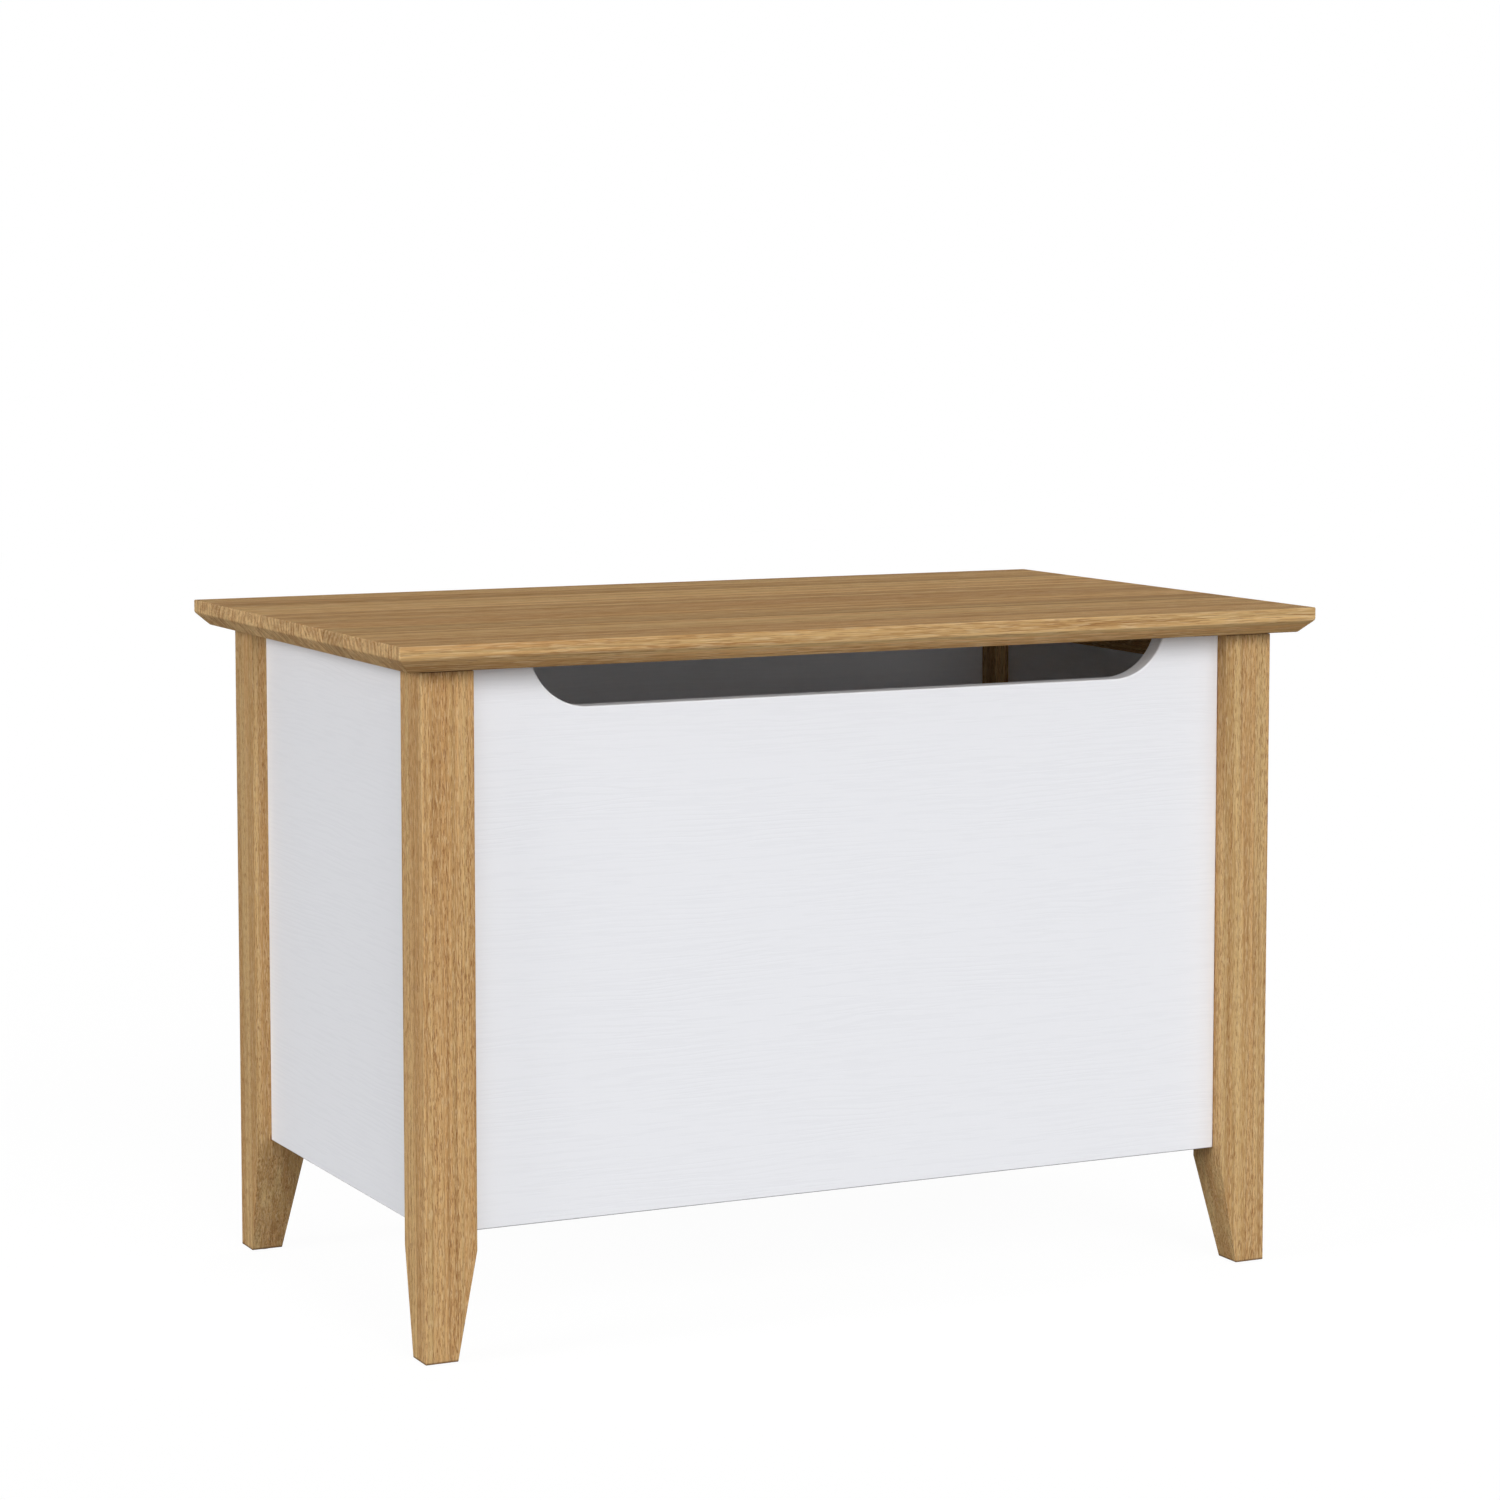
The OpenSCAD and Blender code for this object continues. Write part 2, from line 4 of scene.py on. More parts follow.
import bmesh
import bpy
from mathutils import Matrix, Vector


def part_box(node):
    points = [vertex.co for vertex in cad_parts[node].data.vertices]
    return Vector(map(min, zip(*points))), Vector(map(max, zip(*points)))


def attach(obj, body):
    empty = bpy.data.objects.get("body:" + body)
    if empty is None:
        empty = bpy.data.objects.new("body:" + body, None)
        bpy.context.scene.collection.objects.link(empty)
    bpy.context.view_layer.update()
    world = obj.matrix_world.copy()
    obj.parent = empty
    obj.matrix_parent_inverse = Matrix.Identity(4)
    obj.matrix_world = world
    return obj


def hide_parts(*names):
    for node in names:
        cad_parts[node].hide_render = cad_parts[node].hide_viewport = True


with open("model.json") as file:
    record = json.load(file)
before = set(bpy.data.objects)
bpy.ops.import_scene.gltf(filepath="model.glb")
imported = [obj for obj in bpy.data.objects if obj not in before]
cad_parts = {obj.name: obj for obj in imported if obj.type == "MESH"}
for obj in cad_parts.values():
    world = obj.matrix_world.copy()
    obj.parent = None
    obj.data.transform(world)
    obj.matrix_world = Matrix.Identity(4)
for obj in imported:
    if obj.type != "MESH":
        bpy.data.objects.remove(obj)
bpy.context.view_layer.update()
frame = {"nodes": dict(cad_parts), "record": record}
record = frame["record"]
bodies = record["behaviour"]["bodies"]
body_of = {node: body for body, nodes in bodies.items() for node in nodes}
slots = {part["node"]: part["material_slot"] for part in record["subparts"]}

# Everything is in metres, in the CAD frame: +X right, +Y rear, +Z up, origin on the floor.
MM = 0.001

FOOT = 28 * MM            # side of a leg's foot
TAPER_TOP = 90.5 * MM     # height at which a leg's taper begins
LID_EDGE = 11 * MM        # upright part of the lid's edge
GAP_DEPTH = 36.5 * MM     # finger gap: depth below the closed lid
GAP_HALF = 247 * MM       # finger gap: from the middle to the centre of a round corner
GAP_RADIUS = 51 * MM      # finger gap: radius of a round corner
GAP_STEPS = 28            # finger gap: straight pieces in a round corner
NOTCH_ROOM = 0.5 * MM     # room between the base panel and what is round it

# Radii of the eased edges
LEG_EDGE = 0.5 * MM
LID_ROUND = 1.1 * MM
PAINT_EDGE = 1.4 * MM
SMALL_EDGE = 0.5 * MM

# The photograph's viewing angle: from the front left, a little above the lid
CAMERA_PLACE = (-1.53536, -3.14631, 0.8682)
CAMERA_YAW = 26.0355      # degrees from straight ahead towards the right
CAMERA_PITCH = 5.2786     # degrees downwards
CAMERA_LENS = 95.908      # mm
CAMERA_SENSOR = 36        # mm
CAMERA_SHIFT = -0.07      # upright framing, as a part of the picture's side

FLOOR_HALF = 9.0          # half the side of the floor
FLOOR_GREY = 0.07         # what the floor reflects of the lamps
FLOOR_GLOW = 0.96         # what the floor gives off itself

# Lamps: name, azimuth from the front towards the left, elevation and width in degrees, brightness
LAMPS = (
    ("front_upper_key", 0, 28, 30, 0.39),
    ("front_low_key", 10, 4, 24, 0.255),
    ("left_key", 86, 18, 24, 0.36),
    ("left_low_key", 90, 8, 30, 0.215),
    ("front_left_fill", 45, 15, 40, 0.19),
    ("front_right_fill", -40, 20, 40, 0.18),
    ("rear_right_key", 225, 7, 40, 0.50),
    ("rear_fill", 182, 5, 40, 0.30),
)
NO_GLARE = ("rear_right_key", "rear_fill")   # lamps that would shine off the lid's top


# ------------------------------------------------------------------ camera and light

def add(name, data):
    """New object in the scene."""
    made = bpy.data.objects.new(name, data)
    bpy.context.scene.collection.objects.link(made)
    return made


def make_camera():
    camera = add("camera", bpy.data.cameras.new("camera"))
    camera.location = CAMERA_PLACE
    yaw, pitch = math.radians(CAMERA_YAW), math.radians(CAMERA_PITCH)
    camera.rotation_euler = (math.pi / 2 - pitch, 0, -yaw)
    camera.data.lens = CAMERA_LENS
    camera.data.sensor_width = CAMERA_SENSOR
    camera.data.shift_y = CAMERA_SHIFT
    bpy.context.scene.camera = camera


def soft_sun(name, azimuth, elevation, width, brightness):
    """Distant soft lamp. The brightness is what it alone gives a white face turned to it."""
    data = bpy.data.lights.new(name, "SUN")
    data.angle = math.radians(width)
    data.energy = math.pi * brightness
    lamp = add(name, data)
    a, e = math.radians(azimuth), math.radians(elevation)
    place = Vector((-math.sin(a) * math.cos(e), -math.cos(a) * math.cos(e), math.sin(e)))
    lamp.location = place
    lamp.rotation_euler = (-place).to_track_quat("-Z", "Y").to_euler()
    lamp.visible_glossy = name not in NO_GLARE


def make_world():
    """Plain white behind the object, and next to no light from it, since the lamps do the
    lighting. Only mirror-like parts see the dome, which is dark level with the box and bright
    overhead and below."""
    world = bpy.data.worlds.new("studio")
    bpy.context.scene.world = world
    world.use_nodes = True
    tree = world.node_tree
    tree.nodes.clear()
    sky = tree.nodes.new("ShaderNodeTexCoord")
    split = tree.nodes.new("ShaderNodeSeparateXYZ")
    tree.links.new(sky.outputs["Generated"], split.inputs[0])
    slope = tree.nodes.new("ShaderNodeMath")
    slope.operation = "ABSOLUTE"
    tree.links.new(split.outputs["Z"], slope.inputs[0])
    ramp = tree.nodes.new("ShaderNodeMapRange")
    for key, value in {"From Min": 0.14, "From Max": 0.7, "To Min": 0.12, "To Max": 0.8}.items():
        ramp.inputs[key].default_value = value
    tree.links.new(slope.outputs[0], ramp.inputs["Value"])
    shades = {}
    for name, value in (("dome", 0.0), ("ambient", 0.012), ("backdrop", 1.0)):
        shades[name] = tree.nodes.new("ShaderNodeBackground")
        shades[name].inputs["Color"].default_value = (1, 1, 1, 1)
        shades[name].inputs["Strength"].default_value = value
    tree.links.new(ramp.outputs[0], shades["dome"].inputs["Strength"])
    rays = tree.nodes.new("ShaderNodeLightPath")
    seen = shades["ambient"].outputs[0]
    for output, name in (("Is Glossy Ray", "dome"), ("Is Camera Ray", "backdrop")):
        mix = tree.nodes.new("ShaderNodeMixShader")
        tree.links.new(rays.outputs[output], mix.inputs[0])
        tree.links.new(seen, mix.inputs[1])
        tree.links.new(shades[name].outputs[0], mix.inputs[2])
        seen = mix.outputs[0]
    out = tree.nodes.new("ShaderNodeOutputWorld")
    tree.links.new(seen, out.inputs["Surface"])


def make_stage():
    """White floor that glows, like a lit sweep, so only faint contact shadows show. It throws no
    light on the object and doesn't block the low lamps."""
    mesh = bpy.data.meshes.new("floor")
    half = FLOOR_HALF
    corners = [(-half, -half, 0), (half, -half, 0), (half, half, 0), (-half, half, 0)]
    mesh.from_pydata(corners, [], [(0, 1, 2, 3)])
    floor = add("floor", mesh)
    material = bpy.data.materials.new("floor")
    material.use_nodes = True
    shader = material.node_tree.nodes["Principled BSDF"]
    shader.inputs["Base Color"].default_value = (FLOOR_GREY, FLOOR_GREY, FLOOR_GREY, 1)
    shader.inputs["Roughness"].default_value = 0.9
    shader.inputs["Specular IOR Level"].default_value = 0.0
    shader.inputs["Emission Color"].default_value = (1, 1, 1, 1)
    shader.inputs["Emission Strength"].default_value = FLOOR_GLOW
    mesh.materials.append(material)
    floor.visible_diffuse = False
    floor.visible_glossy = False
    floor.visible_shadow = False


# ------------------------------------------------------------------ materials

class Paint:
    """A material under construction. Each method adds a node and returns its output socket."""

    def __init__(self, name):
        self.material = bpy.data.materials.new(name)
        self.material.use_nodes = True
        self.tree = self.material.node_tree
        self.shader = self.tree.nodes["Principled BSDF"]

    def node(self, kind, inputs, **settings):
        made = self.tree.nodes.new("ShaderNode" + kind)
        for key, value in settings.items():
            setattr(made, key, value)
        for key, value in inputs.items():
            self.feed(made.inputs[key], value)
        return made

    def feed(self, socket, value):
        if isinstance(value, bpy.types.NodeSocket):
            self.tree.links.new(value, socket)
        else:
            socket.default_value = value

    def math(self, operation, a, b=0.0, c=0.0):
        return self.node("Math", {0: a, 1: b, 2: c}, operation=operation).outputs[0]

    def moved(self, value, step):
        """value + step, worked out here when value is a plain number."""
        if isinstance(value, bpy.types.NodeSocket):
            return self.math("ADD", value, step) if step else value
        return value + step

    def vector(self, x, y, z):
        return self.node("CombineXYZ", {0: x, 1: y, 2: z}).outputs[0]

    def scaled(self, parts, scales, shift=0.0):
        """Vector of three coordinates, each times its scale, moved by shift."""
        return self.vector(*[self.math("MULTIPLY_ADD", p, s, shift)
                             for p, s in zip(parts, scales)])

    def noise(self, vector, detail=2.0, rough=0.5):
        inputs = {"Vector": vector, "Scale": 1.0, "Detail": detail, "Roughness": rough}
        return self.node("TexNoise", inputs).outputs["Fac"]

    def strip(self, value, feature):
        """Random cells one unit long along the number line."""
        return self.node("TexVoronoi", {"W": value, "Scale": 1.0, "Randomness": 0.7},
                         voronoi_dimensions="1D", feature=feature)

    def ramp(self, value, low, high, to_low=0.0, to_high=1.0, kind="SMOOTHSTEP"):
        inputs = {"Value": value, "From Min": low, "From Max": high,
                  "To Min": to_low, "To Max": to_high}
        return self.node("MapRange", inputs, interpolation_type=kind).outputs[0]

    def mix(self, factor, a, b, blend="MIX"):
        made = self.node("Mix", {0: factor, 6: a, 7: b}, data_type="RGBA", blend_type=blend)
        return made.outputs[2]

    def dimmed(self, colour, level):
        """Colour times a number."""
        return self.mix(1.0, colour, self.vector(level, level, level), "MULTIPLY")

    def attribute(self, name):
        return self.node("Attribute", {}, attribute_name=name).outputs["Fac"]

    def bump(self, height, distance, strength):
        inputs = {"Height": height, "Distance": distance, "Strength": strength}
        return self.node("Bump", inputs).outputs[0]

    def place(self):
        """The three object coordinates, which are the CAD frame's at rest."""
        coordinates = self.node("TexCoord", {}).outputs["Object"]
        return self.node("SeparateXYZ", {0: coordinates}).outputs

    def facing(self):
        """The three parts of the object-space normal."""
        return self.node("SeparateXYZ", {0: self.node("TexCoord", {}).outputs["Normal"]}).outputs

    def finish(self, **inputs):
        for key, value in inputs.items():
            self.feed(self.shader.inputs[key.replace("_", " ")], value)
        return self.material


def rgb(red, green, blue):
    return (red, green, blue, 1.0)


OAK_LIGHT = rgb(0.688, 0.468, 0.216)
OAK_MID = rgb(0.548, 0.338, 0.142)
OAK_GOLD = rgb(0.682, 0.450, 0.200)
OAK_DEEP = rgb(0.480, 0.275, 0.108)
OAK_DARK = rgb(0.400, 0.215, 0.082)
OAK_RED = rgb(0.575, 0.315, 0.130)
OAK_PORE = rgb(0.250, 0.100, 0.034)
OAK_FLECK = rgb(0.820, 0.615, 0.360)
END_PALE = rgb(0.640, 0.428, 0.204)
END_WARM = rgb(0.345, 0.170, 0.063)
# painted shade along a leg's sole, in place of the shadow under the foot
SOLE_SHADE = rgb(0.130, 0.070, 0.035)
SOLE_SHADE_FULL = 0.6 * MM      # height above the sole at which the painted shade begins to fade
SOLE_SHADE_GONE = 2.4 * MM      # height above the sole at which none is left

# The wide lid shows coarser figure than the narrow legs and rails. The first two numbers of a
# pattern are its changes per metre along the grain and across it.
LID_WOOD = {
    "streak": (0.45, 42, 5.0, 0.70), "streak_soft": 0.035, "dull": OAK_DEEP, "bright": OAK_GOLD,
    "vein": (1.6, 230), "vein_low": 0.52, "dash": (45, 1200), "fleck": (40, 1100),
    "red": 0.62, "rings": 0.50, "pores": 0.50, "spread": 0.20,
}
LEG_WOOD = {
    "streak": (0.6, 78, 3.0, 0.55), "streak_soft": 0.08, "dull": OAK_MID, "bright": OAK_LIGHT,
    "vein": (5, 430), "vein_low": 0.54, "dash": (150, 1500), "fleck": (90, 1300),
    "red": 0.50, "rings": 0.20, "pores": 0.66, "spread": 0.14,
}

# Pith of the tree, measured from the middle of a leg or rail, and growth rings per metre
PITH_ACROSS = 75 * MM
PITH_DEPTH = 95 * MM
RINGS = 0.22 / MM

# The same for the strips of a glued board, each with its own place and ring width
STRIP_PITH_NEAR = 22 * MM
STRIP_PITH_FAR = 97 * MM
STRIP_PITH_DEPTH = 42 * MM
STRIP_RINGS_MOST = 0.19 / MM
STRIP_RINGS_LEAST = 0.09 / MM
RING_DRIFT = 14 * MM      # how far the rings stray over the length of a board
RING_WAVE = 3.0 * MM      # how far they waver from one hand's breadth to the next
GLUE_LINE = 0.6 * MM
OAK_RELIEF = 0.12 * MM    # depth of the pores under the lacquer


def oak(name, grain, centre, seed, stave=None, tone=1.0, end_tone=0.0, foot=None):
    """Clear-lacquered oak cut from growth rings that run along the axis `grain` (0, 1 or 2).

    The rings are cylinders round a pith outside the board, so faces along the grain show lines
    and the ends show bands. `stave` is the width of the strips that a board is glued from,
    `end_tone` is how much darker the end grain is, and `foot` is the height of a leg's sole,
    along which the wood is darkened with painted shade."""
    m = Paint(name)
    wood = LID_WOOD if stave else LEG_WOOD
    parts = m.place()
    along = parts[grain]
    across, depth = (m.math("SUBTRACT", parts[(grain + k) % 3], centre[(grain + k) % 3])
                     for k in (1, 2))
    if stave:
        count = m.math("MULTIPLY_ADD", across, 1 / stave, seed)
        cells = m.strip(count, "F1").outputs
        random = m.node("SeparateColor", {0: cells["Color"]}).outputs
        border = m.strip(count, "DISTANCE_TO_EDGE").outputs["Distance"]
        glue = m.ramp(border, 0.0, GLUE_LINE / stave, 1.0, 0.0)
        from_middle = m.math("MULTIPLY", m.math("SUBTRACT", count, cells["W"]), stave)
        side = m.math("MULTIPLY_ADD", m.math("ROUND", random[2]), 2.0, -1.0)
        pith_across = m.math("MULTIPLY_ADD", random[1], STRIP_PITH_FAR - STRIP_PITH_NEAR,
                             STRIP_PITH_NEAR)
        pith_across = m.math("MULTIPLY", pith_across, side)
        pith_depth = m.math("MULTIPLY_ADD", random[0], 2 * STRIP_PITH_DEPTH, -STRIP_PITH_DEPTH)
        rings_per_m = m.math("MULTIPLY_ADD", random[1], STRIP_RINGS_LEAST - STRIP_RINGS_MOST,
                             STRIP_RINGS_MOST)
        shift = m.math("MULTIPLY_ADD", random[0], 7.0, seed)
    else:
        from_middle = across
        pith_across = PITH_ACROSS
        pith_depth = PITH_DEPTH
        rings_per_m = RINGS
        shift = seed

    def figure(scale_along, scale_across, detail=1.0, rough=0.5, step=0.0):
        """Noise drawn out along the grain."""
        scales = (scale_along, scale_across, scale_across)
        place = m.scaled((along, across, depth), scales, m.moved(shift, step))
        return m.noise(place, detail, rough)

    # Growth rings: distance from the pith, drifting slowly along the board
    a = m.math("SUBTRACT", from_middle, pith_across)
    d = m.math("SUBTRACT", depth, pith_depth)
    radius = m.math("SQRT", m.math("ADD", m.math("MULTIPLY", a, a), m.math("MULTIPLY", d, d)))
    radius = m.math("MULTIPLY_ADD", figure(1.1, 6), RING_DRIFT, radius)
    radius = m.math("MULTIPLY_ADD", figure(5, 60, detail=2.0), RING_WAVE, radius)
    ring = m.math("MULTIPLY_ADD", radius, rings_per_m, shift)
    phase = m.math("FRACT", ring)
    early = m.math("MAXIMUM", m.ramp(phase, 0.0, 0.62, 1.0, 0.0), m.ramp(phase, 0.82, 1.0))
    year = m.vector(m.math("MULTIPLY", m.math("FLOOR", ring), 1.37), 0.5, shift)
    early = m.math("MULTIPLY", early, m.ramp(m.noise(year, detail=0.0), 0.30, 0.62, 0.20, 1.0))
    end = m.ramp(m.math("ABSOLUTE", m.facing()[grain]), 0.35, 0.7)

    # Streaks, lines, pores and pale flecks
    streak = figure(*wood["streak"])
    warm = figure(1.3, 120, detail=2.0, step=11.0)
    line = figure(2.2, 420, detail=3.0, rough=0.7)
    vein = figure(*wood["vein"], step=3.0)
    dash = figure(*wood["dash"], detail=2.0, rough=0.6)
    fleck = figure(*wood["fleck"], step=5.0)
    dense = m.ramp(figure(3, 150), 0.36, 0.60)
    much = m.math("MULTIPLY_ADD", m.math("MAXIMUM", early, dense), 0.45, 0.55)
    pore = m.math("MULTIPLY", m.ramp(dash, 0.52, 0.60), much)

    soft = wood["streak_soft"]
    tan = m.mix(m.ramp(streak, 0.5 - soft, 0.5 + soft), wood["dull"], wood["bright"])
    tan = m.mix(m.ramp(warm, 0.44, 0.60, 0.0, wood["red"]), tan, OAK_RED)
    tan = m.mix(m.math("MULTIPLY", early, wood["rings"]), tan, OAK_DARK)
    tan = m.mix(m.ramp(vein, wood["vein_low"], 0.68, 0.0, 0.50), tan, OAK_DARK)
    bands = m.mix(early, END_PALE, END_WARM)
    bands = m.mix(m.ramp(warm, 0.46, 0.58, 0.0, 0.50), bands, END_WARM)
    bands = m.mix(m.ramp(warm, 0.40, 0.48, 0.45, 0.0), bands, END_PALE)
    tan = m.mix(end, tan, bands)
    low, high = 1.0 - wood["spread"], 1.0 + wood["spread"]
    tan = m.dimmed(tan, m.ramp(line, 0.32, 0.68, low, high, "LINEAR"))
    tan = m.mix(m.ramp(fleck, 0.54, 0.63, 0.0, 0.42), tan, OAK_FLECK)
    pore_depth = m.math("MULTIPLY_ADD", end, -0.25, wood["pores"])
    tan = m.mix(m.math("MULTIPLY", pore, pore_depth), tan, OAK_PORE)

    # Each strip's own shade and the glue between them, or a leg's darker end
    if stave:
        tan = m.mix(m.math("MULTIPLY", glue, 0.35), tan, OAK_DARK)
        own = m.ramp(random[2], 0.0, 1.0, 0.90 * tone, 1.09 * tone, "LINEAR")
    else:
        own = m.math("MULTIPLY_ADD", end, -end_tone * tone, tone)
    tan = m.dimmed(tan, own)

    # Pale edges, partly wear and partly a painted highlight, and painted shade along the sole
    arris_mask = m.math("MULTIPLY", m.attribute("arris"), m.math("SUBTRACT", 1.0, end))
    arris_mask = m.math("MULTIPLY", arris_mask, m.ramp(figure(28, 28, detail=2.0), 0.40, 0.62))
    # painted highlight along the eased edges, which also reads as wear
    tan = m.mix(m.math("MULTIPLY", arris_mask, 0.20), tan, OAK_FLECK)
    if foot is not None:
        # painted shade: the wood darkens just above the sole
        sole_shade = m.ramp(parts[2], foot + SOLE_SHADE_FULL, foot + SOLE_SHADE_GONE, 0.8, 0.0)
        tan = m.mix(sole_shade, tan, SOLE_SHADE)

    height = m.math("MULTIPLY_ADD", pore, -1.0, m.math("MULTIPLY", line, 0.45))
    matt = m.ramp(line, 0.2, 0.8, 0.60, 0.70, "LINEAR")
    return m.finish(
        Base_Color=tan,
        Roughness=m.math("MULTIPLY_ADD", pore, 0.15, matt),
        Specular_IOR_Level=0.02,
        Normal=m.bump(height, OAK_RELIEF, 0.5),
    )


PAINT_WHITE = rgb(0.885, 0.893, 0.928)
PAINT_GROOVE = rgb(0.835, 0.843, 0.880)
PAINT_EDGE_HIGHLIGHT = rgb(0.905, 0.910, 0.935)   # painted highlight on the eased edges
PAINT_UNDER_SHADE = rgb(0.20, 0.20, 0.21)       # painted shade on the downward rounding of the bottom edges
EMBOSS = 4.3 * MM         # spacing of the lines embossed in the painted boards
EMBOSS_DEPTH = 0.12 * MM


def white_paint(name, grain, seed, up=2):
    """Satin white paint over board embossed with fine wood grain along the axis `grain`."""
    m = Paint(name)
    parts = m.place()
    ordered = parts[grain], parts[up], parts[3 - grain - up]

    def figure(scale_along, scale_across, step=0.0, detail=2.0):
        return m.noise(m.scaled(ordered, (scale_along, scale_across, scale_across), seed + step),
                       detail)

    # Wavering lines along the grain, patchy in depth, with short dashes between them
    phase = m.math("MULTIPLY_ADD", parts[up], 1 / EMBOSS, m.math("MULTIPLY", figure(2.6, 11), 9.0))
    phase = m.math("MULTIPLY_ADD", figure(9, 55, step=4), 2.2, phase)
    line = m.math("SINE", m.math("MULTIPLY", phase, 2 * math.pi))
    patch = m.ramp(figure(7, 26, step=9), 0.38, 0.66)
    groove = m.math("MULTIPLY", m.ramp(line, 0.1, 0.95),
                    m.math("MULTIPLY_ADD", patch, 0.65, 0.05))
    dash = m.ramp(figure(20, 330), 0.48, 0.66)
    groove = m.math("MAXIMUM", groove, m.math("MULTIPLY", dash, 0.65))

    arris_mask = m.attribute("arris")
    tint = m.mix(m.math("MULTIPLY", groove, 0.50), PAINT_WHITE, PAINT_GROOVE)
    # painted highlight: the eased edges are made whiter
    tint = m.mix(m.math("MULTIPLY", arris_mask, 0.4), tint, PAINT_EDGE_HIGHLIGHT)
    # painted shade: the downward-facing rounding of the edges is greyed
    under_shade = m.math("MULTIPLY", arris_mask, m.ramp(m.facing()[2], -0.75, -0.20, 0.8, 0.0))
    tint = m.mix(under_shade, tint, PAINT_UNDER_SHADE)
    peel = m.math("MULTIPLY", figure(260, 260, detail=1.0), 0.18)
    return m.finish(
        Base_Color=tint,
        Roughness=m.ramp(groove, 0.0, 1.0, 0.48, 0.58, "LINEAR"),
        Specular_IOR_Level=0.25,
        Normal=m.bump(m.math("MULTIPLY_ADD", groove, -1.0, peel), EMBOSS_DEPTH, 0.55),
    )


BEECH_DULL = rgb(0.55, 0.36, 0.19)
BEECH_BRIGHT = rgb(0.68, 0.48, 0.28)
BEECH_FLECK = rgb(0.32, 0.18, 0.09)


def beech(name, grain, seed):
    """Plain sanded beech: close pale grain with short dark flecks."""
    m = Paint(name)
    parts = m.place()
    ordered = [parts[(grain + k) % 3] for k in range(3)]
    streak = m.noise(m.scaled(ordered, (3, 90, 90), seed), detail=3.0)
    fleck = m.noise(m.scaled(ordered, (300, 1500, 1500), seed), detail=0.0)
    tint = m.mix(m.ramp(streak, 0.3, 0.7), BEECH_DULL, BEECH_BRIGHT)
    tint = m.mix(m.math("MULTIPLY", m.ramp(fleck, 0.62, 0.7), 0.5), tint, BEECH_FLECK)
    return m.finish(
        Base_Color=tint,
        Roughness=m.ramp(streak, 0.2, 0.8, 0.55, 0.7, "LINEAR"),
        Specular_IOR_Level=0.3,
        Normal=m.bump(streak, 0.1 * MM, 0.4),
    )


def metal(name, colour, roughness, seed):
    """Plated steel with faint clouding, fine scratches and soft wear."""
    m = Paint(name)
    parts = m.place()
    cloud = m.noise(m.scaled(parts, (160, 160, 160), seed), detail=3.0)
    scratch = m.noise(m.scaled(parts, (300, 4200, 4200), seed), detail=2.0)
    duller = rgb(*[0.78 * c for c in colour[:3]])
    return m.finish(
        Base_Color=m.mix(m.ramp(cloud, 0.35, 0.7), colour, duller),
        Metallic=1.0,
        Roughness=m.ramp(scratch, 0.3, 0.75, roughness - 0.06, roughness + 0.14, "LINEAR"),
        Normal=m.bump(scratch, 0.02 * MM, 0.35),
    )


def moulding(name, colour, roughness, seed):
    """Moulded plastic or rubber with a fine spark-eroded texture."""
    m = Paint(name)
    parts = m.place()
    grit = m.noise(m.scaled(parts, (1900, 1900, 1900), seed), detail=2.0)
    cloud = m.noise(m.scaled(parts, (90, 90, 90), seed), detail=2.0)
    paler = rgb(*[min(1.0, 1.22 * c) for c in colour[:3]])
    return m.finish(
        Base_Color=m.mix(m.ramp(cloud, 0.35, 0.7), colour, paler),
        Roughness=m.ramp(grit, 0.2, 0.8, roughness - 0.08, roughness + 0.08, "LINEAR"),
        Specular_IOR_Level=0.4,
        Normal=m.bump(grit, 0.05 * MM, 0.35),
    )


# ------------------------------------------------------------------ mesh pieces

def loft(rings):
    """Closed solid through rings of points, each ring with the same number of points."""
    shape = bmesh.new()
    rows = [[shape.verts.new(p) for p in ring] for ring in rings]
    for low, high in zip(rows, rows[1:]):
        for k in range(len(low)):
            n = (k + 1) % len(low)
            shape.faces.new((low[k], low[n], high[n], high[k]))
    shape.faces.new(rows[0][::-1])
    shape.faces.new(rows[-1])
    bmesh.ops.recalc_face_normals(shape, faces=shape.faces)
    return shape


def middle(node):
    low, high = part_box(node)
    return (low + high) / 2


def rectangle(low, high, z, inset=0.0):
    """The four corners of a box seen from above, at height z."""
    return [(low[0] + inset, low[1] + inset, z), (high[0] - inset, low[1] + inset, z),
            (high[0] - inset, high[1] - inset, z), (low[0] + inset, high[1] - inset, z)]


def ease(shape, radius):
    """Rounds every sharp edge, and marks the rounding in the vertex layer "arris"."""
    sharp = [e for e in shape.edges if e.calc_face_angle(0.0) > math.radians(20)]
    made = bmesh.ops.bevel(shape, geom=sharp, offset=radius, offset_type="OFFSET", segments=3,
                           profile=0.5, affect="EDGES", clamp_overlap=True)
    rounding = set(made["faces"])
    arris = shape.verts.layers.float.new("arris")
    for vert in shape.verts:
        vert[arris] = 1.0 if all(f in rounding for f in vert.link_faces) else 0.0


def stand_in(name, node, shape, radius, material):
    """Adds a shape with eased edges as the piece shown for a CAD node, on that node's body."""
    ease(shape, radius)
    mesh = bpy.data.meshes.new(name)
    shape.to_mesh(mesh)
    shape.free()
    mesh.shade_smooth()
    mesh.materials.append(material)
    made = add(name, mesh)
    weighted = made.modifiers.new("weighted_normal", "WEIGHTED_NORMAL")
    weighted.weight = 100
    weighted.keep_sharp = False
    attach(made, body_of[node])
    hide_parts(node)


def board(name, node, radius, material):
    """Plain board that fills its CAD node's box."""
    low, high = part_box(node)
    shape = loft([rectangle(low, high, low.z), rectangle(low, high, high.z)])
    stand_in(name, node, shape, radius, material)


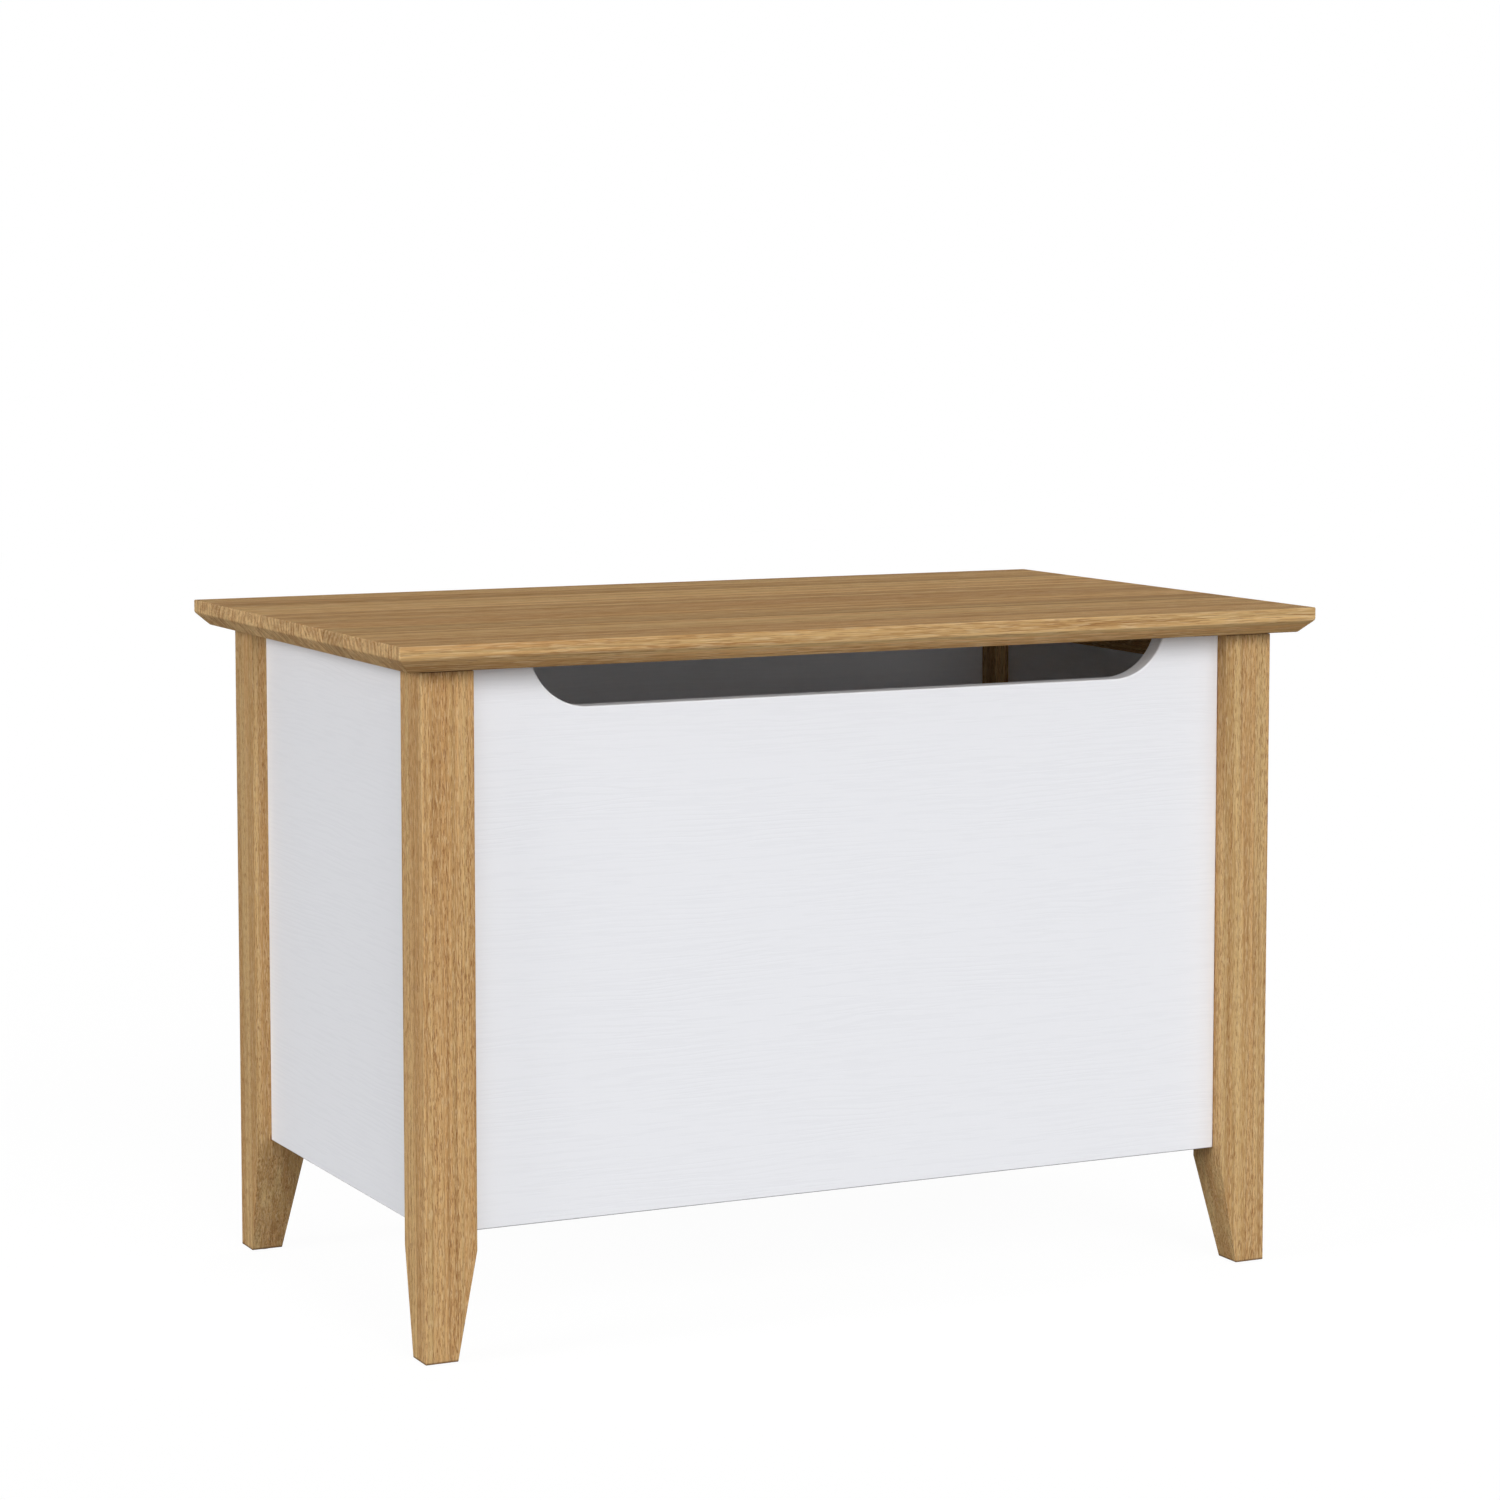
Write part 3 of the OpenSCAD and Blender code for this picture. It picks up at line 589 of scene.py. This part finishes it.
def leg(name, node, material):
    """Square leg whose two inner faces taper to the foot."""
    low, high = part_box(node)
    x0, y0 = (low.x if low.x < 0 else high.x, low.y if low.y < 0 else high.y)

    def ring(side, z):
        x1, y1 = x0 - math.copysign(side, x0), y0 - math.copysign(side, y0)
        return [(x0, y0, z), (x1, y0, z), (x1, y1, z), (x0, y1, z)]

    side = high.x - low.x
    shape = loft([ring(FOOT, low.z), ring(side, TAPER_TOP), ring(side, high.z)])
    stand_in(name, node, shape, LEG_EDGE, material)


def lid(material):
    """Lid board with an upright edge above a 45 degree bevel."""
    low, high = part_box("lid_board")
    edge_z = high.z - LID_EDGE
    shape = loft([
        rectangle(low, high, low.z, inset=edge_z - low.z),
        rectangle(low, high, edge_z),
        rectangle(low, high, high.z),
    ])
    stand_in("lid_board_oak", "lid_board", shape, LID_ROUND, material)


def front_panel(material):
    """Front panel with the finger gap cut into its top edge."""
    low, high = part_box("front_panel")
    centre_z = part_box("lid_board")[0].z + GAP_RADIUS - GAP_DEPTH
    start = math.asin((high.z - centre_z) / GAP_RADIUS)
    arc = []
    for k in range(GAP_STEPS + 1):
        angle = start + (-math.pi / 2 - start) * k / GAP_STEPS
        arc.append((GAP_HALF + GAP_RADIUS * math.cos(angle),
                    centre_z + GAP_RADIUS * math.sin(angle)))
    outline = [(low.x, low.z), (high.x, low.z), (high.x, high.z)]
    outline += arc
    outline += [(-x, z) for x, z in reversed(arc)]
    outline += [(low.x, high.z)]
    shape = loft([[(x, y, z) for x, z in outline] for y in (high.y, low.y)])
    stand_in("front_panel_painted", "front_panel", shape, PAINT_EDGE, material)


def base_panel(material):
    """Base panel notched round the legs' inner corners."""
    low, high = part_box("base_panel")
    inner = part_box("leg_front_left")[1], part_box("leg_rear_right")[0]
    x0, y0 = inner[0].x + NOTCH_ROOM, inner[0].y + NOTCH_ROOM
    x1, y1 = inner[1].x - NOTCH_ROOM, inner[1].y - NOTCH_ROOM
    outline = [(x0, low.y), (x1, low.y), (x1, y0), (high.x, y0), (high.x, y1), (x1, y1),
               (x1, high.y), (x0, high.y), (x0, y1), (low.x, y1), (low.x, y0), (x0, y0)]
    shape = loft([[(x, y, z) for x, y in outline] for z in (low.z, high.z)])
    stand_in("base_panel_painted", "base_panel", shape, SMALL_EDGE, material)


# ------------------------------------------------------------------ build

STAVE = 46 * MM           # width of the strips that the lid is glued from
LID_TONE = 0.99
LEG_END_TONE = 0.35
LEG_TONES = {"leg_front_left": 0.97, "leg_front_right": 0.93,
             "leg_rear_left": 0.87, "leg_rear_right": 0.92}
RAILS = {"left_top_rail": 1, "right_top_rail": 1, "rear_top_rail": 0}               # grain axis
CLEATS = {"front_cleat": 0, "rear_cleat": 0, "left_cleat": 1, "right_cleat": 1}     # grain axis

make_camera()
make_world()
make_stage()
for lamp in LAMPS:
    soft_sun(*lamp)

lid(oak("oak_lid", 0, middle("lid_board"), 0.31, stave=STAVE, tone=LID_TONE))
for index, (node, tone) in enumerate(LEG_TONES.items()):
    leg(node + "_oak", node, oak("oak_" + node, 2, middle(node), 2.3 + 1.7 * index, tone=tone,
                                 end_tone=LEG_END_TONE, foot=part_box(node)[0].z))
for index, (node, grain) in enumerate(RAILS.items()):
    material = oak("oak_" + node, grain, middle(node), 9.1 + 1.3 * index)
    board(node + "_oak", node, SMALL_EDGE, material)

front_panel(white_paint("paint_front", 0, 1.7))
for side, grain, seed in (("back", 0, 5.2), ("left", 1, 8.4), ("right", 1, 11.9)):
    material = white_paint("paint_" + side, grain, seed)
    board(side + "_panel_painted", side + "_panel", PAINT_EDGE, material)
base_panel(white_paint("paint_base", 0, 14.3, up=1))

for index, (node, grain) in enumerate(CLEATS.items()):
    board(node + "_beech", node, SMALL_EDGE, beech("beech_" + node, grain, 3.1 + index))

# Materials of the CAD nodes that are shown as they are, by material slot
small = {
    "zinc_steel": metal("zinc_plating", rgb(0.62, 0.63, 0.65), 0.34, 2.0),
    "nickel_steel": metal("nickel_plating", rgb(0.58, 0.56, 0.52), 0.28, 5.0),
    "grey_plastic": moulding("grey_moulding", rgb(0.11, 0.115, 0.12), 0.5, 1.0),
    "white_plastic": moulding("white_moulding", rgb(0.74, 0.745, 0.755), 0.42, 4.0),
    "rubber": moulding("rubber", rgb(0.035, 0.035, 0.036), 0.75, 7.0),
    "beech": beech("beech_dowels", 0, 9.0),
}
for node, slot in slots.items():
    if slot in small:
        mesh = frame["nodes"][node].data
        mesh.materials.clear()
        mesh.materials.append(small[slot])

bpy.context.scene.view_settings.view_transform = "Standard"
bpy.context.scene.view_settings.look = "None"
